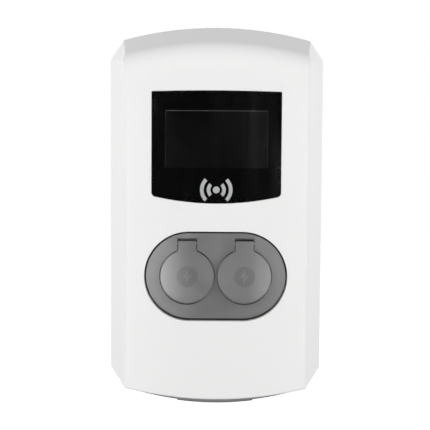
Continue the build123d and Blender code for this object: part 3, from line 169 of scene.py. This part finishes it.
# ---- materials ----
def moulded(name, colour, rough, grain=0.0, vary=0.06, specular=0.5):
    """Moulded plastic: slightly cloudy colour, uneven gloss and a spark-eroded grain of the given depth."""
    mat, tree, shader = new_material(name)
    cloud = noise(tree, 9, 4)
    tree.links.new(blend_colours(tree, cloud, tone(colour, 1 - vary), tone(colour, 1 + vary)),
                   shader.inputs["Base Color"])
    tree.links.new(spread(tree, noise(tree, 45, 5), 0.3, 0.7, rough * 0.88, rough * 1.14),
                   shader.inputs["Roughness"])
    shader.inputs["Specular IOR Level"].default_value = specular
    if grain:
        coarse = bump(tree, shader, noise(tree, 900, 3, 0.65), grain)
        bump(tree, shader, noise(tree, 2600, 2), grain * 0.4, 1.0, coarse)
    return mat


def cover_white():
    """Gloss white: a hint of cloud in the colour, faint wipe marks in the gloss and a soft orange peel."""
    mat, tree, shader = new_material("cover_white")
    cloud = noise(tree, 4, 3)
    tree.links.new(blend_colours(tree, cloud, (0.845, 0.845, 0.84), (0.865, 0.865, 0.862)),
                   shader.inputs["Base Color"])
    wipes = noise(tree, 14, 6, 0.6, place(tree, (1.0, 1.0, 0.35)), 0.8)
    tree.links.new(spread(tree, wipes, 0.35, 0.75, 0.10, 0.17), shader.inputs["Roughness"])
    shader.inputs["Specular IOR Level"].default_value = 0.10
    bump(tree, shader, noise(tree, 260, 2), 0.00001, 0.6)
    return mat


def clear_glass():
    """A pane that reflects by angle, with faint haze in streaks, fine dust and a few specks."""
    mat, tree, _ = new_material("clear_glass")
    tree.nodes.remove(tree.nodes["Principled BSDF"])
    output = tree.nodes["Material Output"]
    clear = add(tree, "ShaderNodeBsdfTransparent")
    clear.inputs["Color"].default_value = (0.975, 0.98, 0.98, 1)
    mirror = add(tree, "ShaderNodeBsdfGlossy")
    tree.links.new(spread(tree, noise(tree, 18, 5), 0.4, 0.8, 0.02, 0.09), mirror.inputs["Roughness"])
    angle = add(tree, "ShaderNodeLayerWeight")
    angle.inputs["Blend"].default_value = 0.5
    share = spread(tree, maths(tree, "POWER", angle.outputs["Facing"], 5.0), 0.0, 1.0, 0.04, 1.0)
    pane = add(tree, "ShaderNodeMixShader")
    tree.links.new(share, pane.inputs[0])
    tree.links.new(clear.outputs[0], pane.inputs[1])
    tree.links.new(mirror.outputs[0], pane.inputs[2])
    dusty = add(tree, "ShaderNodeMixShader")
    tree.links.new(dust_cover(tree), dusty.inputs[0])
    tree.links.new(pane.outputs[0], dusty.inputs[1])
    dust = add(tree, "ShaderNodeBsdfDiffuse")
    dust.inputs["Color"].default_value = (0.75, 0.74, 0.72, 1)
    tree.links.new(dust.outputs[0], dusty.inputs[2])
    tree.links.new(dusty.outputs[0], output.inputs["Surface"])
    return mat


def dust_cover(tree):
    """How much of the glass is covered: tall wipe streaks, slanting faint scratches and rare specks."""
    streaks = noise(tree, 16, 5, 0.55, place(tree, (1.6, 1.0, 0.22)), 0.6)
    split = add(tree, "ShaderNodeSeparateXYZ")
    tree.links.new(place(tree), split.inputs["Vector"])
    rubbed = spread(tree, split.outputs["X"], 0.02, 0.07, 0.2, 1.0, smooth=True)
    haze = maths(tree, "MULTIPLY", spread(tree, streaks, 0.42, 0.70, 0.0, 0.014), rubbed)
    turned = add(tree, "ShaderNodeMapping")
    turned.inputs["Rotation"].default_value = (0, math.radians(62), 0)
    turned.inputs["Scale"].default_value = (1.0, 1.0, 0.05)
    tree.links.new(place(tree), turned.inputs["Vector"])
    scratches = spread(tree, noise(tree, 420, 3, 0.5, turned.outputs["Vector"]), 0.68, 0.80, 0.0, 0.010)
    specks = spread(tree, cells(tree, 74), 0.026, 0.012, 0.0, 0.20)
    return maths(tree, "ADD", maths(tree, "ADD", haze, scratches), specks)


def print_black():
    """Black screen print seen through the glass."""
    mat, tree, shader = new_material("print_black")
    shade = blend_colours(tree, noise(tree, 30, 3), (0.0008, 0.0008, 0.0009), (0.0014, 0.0014, 0.0015))
    tree.links.new(shade, shader.inputs["Base Color"])
    tree.links.new(spread(tree, noise(tree, 60, 3), 0.3, 0.7, 0.45, 0.6), shader.inputs["Roughness"])
    shader.inputs["Specular IOR Level"].default_value = 0.02
    return mat


def display_cell():
    """A switched-off panel: a satin dark polariser with a barely visible pixel grid."""
    mat, tree, shader = new_material("display_cell")
    cloud = noise(tree, 12, 4, 0.6, place(tree, (1.0, 1.0, 0.5)))
    tree.links.new(blend_colours(tree, cloud, (0.0006, 0.0006, 0.0007), (0.0015, 0.0015, 0.0017)),
                   shader.inputs["Base Color"])
    tree.links.new(spread(tree, cloud, 0.3, 0.7, 0.09, 0.13), shader.inputs["Roughness"])
    shader.inputs["Specular IOR Level"].default_value = 0.09
    bump(tree, shader, noise(tree, 5200, 1), 0.000002)
    return mat


def symbol_light():
    """The light film behind the reader symbol."""
    mat, tree, shader = new_material("symbol_light")
    tree.links.new(blend_colours(tree, noise(tree, 90, 3), (0.90, 0.90, 0.90), (0.95, 0.95, 0.94)),
                   shader.inputs["Base Color"])
    tree.links.new(spread(tree, noise(tree, 200, 2), 0.3, 0.7, 0.5, 0.65), shader.inputs["Roughness"])
    return mat


def rubber(name, colour):
    """Soft black rubber with a dusty bloom."""
    mat, tree, shader = new_material(name)
    bloom = spread(tree, noise(tree, 70, 6, 0.6), 0.45, 0.75)
    tree.links.new(blend_colours(tree, bloom, colour, tone(colour, 1.8)), shader.inputs["Base Color"])
    tree.links.new(spread(tree, bloom, 0, 1, 0.62, 0.8), shader.inputs["Roughness"])
    bump(tree, shader, noise(tree, 1400, 3), 0.00002)
    return mat


def metal(name, colour, rough, along=(1, 1, 1), spangle=0.0):
    """Drawn, turned or galvanised metal: fine lines along the work, and zinc spangle where it has any."""
    mat, tree, shader = new_material(name)
    lines = noise(tree, 260, 4, 0.6, place(tree, along))
    flakes = spread(tree, cells(tree, 140), 0.0, 0.9)
    drawn = maths(tree, "MULTIPLY", lines, 1 - spangle)
    pattern = maths(tree, "ADD", drawn, maths(tree, "MULTIPLY", flakes, spangle))
    tree.links.new(blend_colours(tree, pattern, tone(colour, 0.82), tone(colour, 1.12)),
                   shader.inputs["Base Color"])
    tree.links.new(spread(tree, pattern, 0.2, 0.8, rough * 0.75, rough * 1.3), shader.inputs["Roughness"])
    shader.inputs["Metallic"].default_value = 1.0
    bump(tree, shader, lines, 0.00001, 0.7)
    return mat


def board_green():
    """A circuit board: solder resist with paler tracks in rows."""
    mat, tree, shader = new_material("board_green")
    tracks = add(tree, "ShaderNodeTexBrick")
    tracks.inputs["Scale"].default_value = 1.0
    tracks.inputs["Mortar Size"].default_value = 0.00035
    tracks.inputs["Brick Width"].default_value = 0.018
    tracks.inputs["Row Height"].default_value = 0.0036
    tracks.inputs["Color1"].default_value = (0.012, 0.085, 0.035, 1)
    tracks.inputs["Color2"].default_value = (0.018, 0.110, 0.045, 1)
    tracks.inputs["Mortar"].default_value = (0.05, 0.22, 0.09, 1)
    upright = add(tree, "ShaderNodeMapping")
    upright.inputs["Rotation"].default_value = (math.radians(90), 0, 0)
    tree.links.new(place(tree), upright.inputs["Vector"])
    tree.links.new(upright.outputs["Vector"], tracks.inputs["Vector"])
    tree.links.new(tracks.outputs["Color"], shader.inputs["Base Color"])
    tree.links.new(spread(tree, noise(tree, 80, 3), 0.3, 0.7, 0.25, 0.4), shader.inputs["Roughness"])
    bump(tree, shader, tracks.outputs["Fac"], 0.00003)
    return mat


def meter_window():
    """A glossy window over a grey-green number field."""
    mat, tree, shader = new_material("meter_window")
    tree.links.new(blend_colours(tree, noise(tree, 60, 3), (0.22, 0.26, 0.21), (0.27, 0.31, 0.26)),
                   shader.inputs["Base Color"])
    tree.links.new(spread(tree, noise(tree, 25, 4), 0.3, 0.7, 0.05, 0.12), shader.inputs["Roughness"])
    return mat


def from_lid_centre(tree, node, drop=0.0):
    """Distance from a lid's axis, or from a line that far below it."""
    low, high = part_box(node)
    radius = (high.x - low.x) / 2
    around = add(tree, "ShaderNodeVectorMath", operation="LENGTH")
    centred = place(tree, (1, 0, 1), (-(low.x + radius), 0, -(low.z + radius) + drop))
    tree.links.new(centred, around.inputs[0])
    return around.outputs["Value"]


def shaded_grey(name):
    """The sockets' plastic: (material, tree, a function that paints shade on it, darkening it where a share
    is 1).
    """
    mat = moulded(name, SOCKET_GREY, SOCKET_GLOSS, 0.00001, specular=1.0)
    tree = mat.node_tree
    shader = tree.nodes["Principled BSDF"]

    def paint_shade(share, factor):
        plain = shader.inputs["Base Color"].links[0].from_socket
        painted = blend_colours(tree, share, plain, tone(SOCKET_GREY, factor))
        tree.links.new(painted, shader.inputs["Base Color"])
    return mat, tree, paint_shade


def lid_grey_with_shade(node):
    """The sockets' plastic, with painted shade on the sunk floor around the bolt and low on the lid's edge.
    """
    low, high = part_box(node)
    mat, tree, paint_shade = shaded_grey(node + "_grey")
    around = from_lid_centre(tree, node)
    split = add(tree, "ShaderNodeSeparateXYZ")
    tree.links.new(place(tree), split.inputs["Vector"])
    inside = spread(tree, around, EMBLEM_R, EMBLEM_R + 0.0004, 1.0, 0.0)
    sunk = spread(tree, split.outputs["Y"], low.y + 0.0003, low.y + 0.0007)
    # painted shade on the sunk floor of the disc around the bolt
    paint_shade(maths(tree, "MULTIPLY", inside, sunk), EMBLEM_SHADE_TONE)
    radius = (high.x - low.x) / 2
    # painted shade on the lid's edge, deep down towards the pocket
    edge = spread(tree, around, radius - 0.0004, radius - 0.0001)
    deep = spread(tree, split.outputs["Y"], low.y + 0.0012, low.y + 0.0022)
    paint_shade(maths(tree, "MULTIPLY", edge, deep), POCKET_SHADE_TONE)
    return mat


def plate_grey_with_shade():
    """The sockets' plastic, with painted shade in the pockets round both lids and in the notches above
    them.
    """
    mat, tree, paint_shade = shaded_grey("socket_grey")
    split = add(tree, "ShaderNodeSeparateXYZ")
    tree.links.new(place(tree), split.inputs["Vector"])
    for node in ("lid_left", "lid_right"):
        low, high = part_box(node)
        radius = (high.x - low.x) / 2
        # painted shade in the pocket round the lid, and in the part of it that reaches further down
        for drop in (0.0, POCKET_DROP):
            near = from_lid_centre(tree, node, drop)
            paint_shade(within(tree, near, radius + POCKET_GAP), POCKET_SHADE_TONE)
        # painted shade in the notch above the hinge tab
        across = maths(tree, "ABSOLUTE", maths(tree, "SUBTRACT", split.outputs["X"], low.x + radius))
        height = maths(tree, "SUBTRACT", split.outputs["Z"], low.z + radius)
        notch = maths(tree, "MULTIPLY", within(tree, across, NOTCH_HALF),
                      within(tree, height, high.z - low.z - radius + NOTCH_ROOM))
        upper = spread(tree, height, 0.0, FADE)
        paint_shade(maths(tree, "MULTIPLY", notch, upper), POCKET_SHADE_TONE)
    return mat


def within(tree, value, limit):
    """1 up to a limit and 0 beyond it."""
    return spread(tree, value, limit + FADE, limit + 2 * FADE, 1.0, 0.0)


MATERIALS = {
    "cover_white": cover_white(),
    "clear_glass": clear_glass(),
    "print_black": print_black(),
    "symbol_light": symbol_light(),
    "socket_grey": plate_grey_with_shade(),
    "housing_grey": moulded("housing_grey", (0.27, 0.27, 0.272), 0.50, 0.00003),
    "trim_dark": moulded("trim_dark", (0.13, 0.13, 0.132), 0.48, 0.00003),
    "seal_rubber": rubber("seal_rubber", (0.012, 0.012, 0.012)),
    "display_cell": display_cell(),
    "zinc_steel": metal("zinc_steel", (0.60, 0.61, 0.62), 0.38, (1, 1, 0.2), 0.55),
    "screw_steel": metal("screw_steel", (0.55, 0.55, 0.54), 0.28),
    "spring_steel": metal("spring_steel", (0.62, 0.62, 0.61), 0.2, (0.2, 1, 1)),
    "frame_black": moulded("frame_black", (0.022, 0.022, 0.023), 0.42, 0.00003, 0.12),
    "board_green": board_green(),
    "chip_black": moulded("chip_black", (0.018, 0.018, 0.019), 0.5, 0.00001, 0.15),
    "device_grey": moulded("device_grey", (0.56, 0.57, 0.57), 0.42, 0.00002, 0.04),
    "meter_window": meter_window(),
    "terminal_beige": moulded("terminal_beige", (0.42, 0.38, 0.30), 0.5, 0.00002),
    "earth_brass": metal("earth_brass", (0.70, 0.52, 0.22), 0.3, (0.1, 1, 1)),
    "contact_silver": metal("contact_silver", (0.86, 0.85, 0.82), 0.16, (1, 0.1, 1)),
    "lever_blue": moulded("lever_blue", (0.022, 0.06, 0.24), 0.36, 0.00001),
    "button_yellow": moulded("button_yellow", (0.70, 0.46, 0.03), 0.38, 0.00001),
    "cable_black": rubber("cable_black", (0.014, 0.014, 0.015)),
}


def dress_nodes():
    """Gives every CAD node its slot's material, and each lid its own."""
    slots = {part["node"]: part["material_slot"] for part in frame["record"]["subparts"]}
    for name, obj in frame["nodes"].items():
        mat = lid_grey_with_shade(name) if name in ("lid_left", "lid_right") else MATERIALS[slots[name]]
        if not obj.material_slots:
            obj.data.materials.append(mat)
        for slot in obj.material_slots:
            slot.material = mat


# ---- camera, floor and light ----
def make_camera():
    data = bpy.data.cameras.new("camera")
    data.sensor_width = 36.0
    data.lens = data.sensor_width * FOCAL_SHARE
    data.clip_start, data.clip_end = 0.01, 60.0
    camera = bpy.data.objects.new("camera", data)
    bpy.context.scene.collection.objects.link(camera)
    back, up = math.cos(VIEW_ELEVATION), math.sin(VIEW_ELEVATION)
    camera.location = (CAMERA_X, FRONT_Y - VIEW_DISTANCE * back, VIEW_DISTANCE * up)
    camera.rotation_euler = (math.pi / 2 - VIEW_ELEVATION, VIEW_ROLL, 0)
    bpy.context.scene.camera = camera


def make_floor():
    """A wide pale floor under the object."""
    half = 12.0
    mesh = bpy.data.meshes.new("floor")
    corners = [(x * half, y * half, FLOOR_Z) for x, y in ((-1, -1), (1, -1), (1, 1), (-1, 1))]
    mesh.from_pydata(corners, [], [(0, 1, 2, 3)])
    floor = bpy.data.objects.new("floor", mesh)
    bpy.context.scene.collection.objects.link(floor)
    mat, tree, shader = new_material("floor_pale")
    tree.links.new(blend_colours(tree, noise(tree, 1.5, 2), (0.90, 0.90, 0.90), (0.93, 0.93, 0.93)),
                   shader.inputs["Base Color"])
    tree.links.new(spread(tree, noise(tree, 6, 2), 0, 1, 0.8, 0.9), shader.inputs["Roughness"])
    shader.inputs["Emission Color"].default_value = (1, 1, 1, 1)
    shader.inputs["Emission Strength"].default_value = 0.6
    floor.data.materials.append(mat)
    floor.visible_glossy = floor.visible_diffuse = False


def window_of(tree, value, low, high, soft):
    """1 between low and high, fading over soft on both sides."""
    rise = spread(tree, value, low - soft, low + soft, smooth=True)
    fall = spread(tree, value, high - soft, high + soft, 1.0, 0.0, smooth=True)
    return maths(tree, "MULTIPLY", rise, fall)


def make_room():
    """A pale room, dark at the middle of its front wall, with two soft boxes beside that."""
    world = bpy.data.worlds.new("room")
    bpy.context.scene.world = world
    world.use_nodes = True
    tree = world.node_tree
    coords = add(tree, "ShaderNodeTexCoord")
    split = add(tree, "ShaderNodeSeparateXYZ")
    tree.links.new(coords.outputs["Generated"], split.inputs["Vector"])
    x, y, z = split.outputs
    turn = maths(tree, "ARCTAN2", x, maths(tree, "MULTIPLY", y, -1.0))
    side = maths(tree, "ABSOLUTE", turn)
    height = maths(tree, "ARCSINE", z)
    ring = spread(tree, side, RING_START, RING_FULL, FRONT_LEVEL, RING_LEVEL, smooth=True)
    up = spread(tree, z, 0.1, 0.95, 1.0, ZENITH_SHARE, smooth=True)
    down = spread(tree, z, -0.85, 0.0, NADIR_SHARE, 1.0, smooth=True)
    room = maths(tree, "MULTIPLY", ring, maths(tree, "MULTIPLY", up, down))
    left, right = BOX_LEVEL * (1 + BOX_TILT), BOX_LEVEL * (1 - BOX_TILT)
    tilt = spread(tree, turn, -HOLE_HALF, HOLE_HALF, left, right)
    boxes = maths(tree, "MULTIPLY", window_of(tree, side, HOLE_HALF, BOX_END, 0.004),
                  window_of(tree, height, BOX_LOW, BOX_HIGH, 0.03))
    lit = weighed(tree, room, tilt, boxes)
    beside = spread(tree, side, HOLE_HALF - 0.004, HOLE_HALF + 0.006, 1.0, 0.0, smooth=True)
    hole = maths(tree, "MULTIPLY", beside, window_of(tree, height, HOLE_LOW, HOLE_HIGH, 0.06))
    background = tree.nodes["Background"]
    background.inputs["Color"].default_value = (1, 1, 1, 1)
    tree.links.new(weighed(tree, lit, HOLE_LEVEL, hole), background.inputs["Strength"])
    seen = add(tree, "ShaderNodeBackground")
    seen.inputs["Color"].default_value = (*BACKDROP, 1)
    path = add(tree, "ShaderNodeLightPath")
    choose = add(tree, "ShaderNodeMixShader")
    tree.links.new(path.outputs["Is Camera Ray"], choose.inputs[0])
    tree.links.new(background.outputs[0], choose.inputs[1])
    tree.links.new(seen.outputs[0], choose.inputs[2])
    tree.links.new(choose.outputs[0], tree.nodes["World Output"].inputs["Surface"])


def weighed(tree, first, second, share):
    """first where share is 0 and second where it is 1."""
    kept = maths(tree, "MULTIPLY", first, maths(tree, "SUBTRACT", 1.0, share))
    return maths(tree, "ADD", kept, maths(tree, "MULTIPLY", second, share))


def soft_light(name, place_at, target, size, power):
    """A large square lamp that points at target."""
    data = bpy.data.lights.new(name, "AREA")
    data.size = size
    data.energy = power
    lamp = bpy.data.objects.new(name, data)
    bpy.context.scene.collection.objects.link(lamp)
    lamp.location = place_at
    lamp.rotation_mode = "QUATERNION"
    lamp.rotation_quaternion = (Vector(target) - Vector(place_at)).to_track_quat("-Z", "Y")
    lamp.visible_glossy = False


make_camera()
make_floor()
make_room()
for hand, power in KEY_POWER.items():
    out, up = KEY_DISTANCE * math.cos(KEY_ELEVATION), KEY_DISTANCE * math.sin(KEY_ELEVATION)
    spot = (hand * out * math.sin(KEY_AZIMUTH), FRONT_Y - out * math.cos(KEY_AZIMUTH), up)
    soft_light("key", spot, (0, FRONT_Y, 0), KEY_SIZE, power)
bpy.context.scene.view_settings.view_transform = "Standard"
dress_nodes()
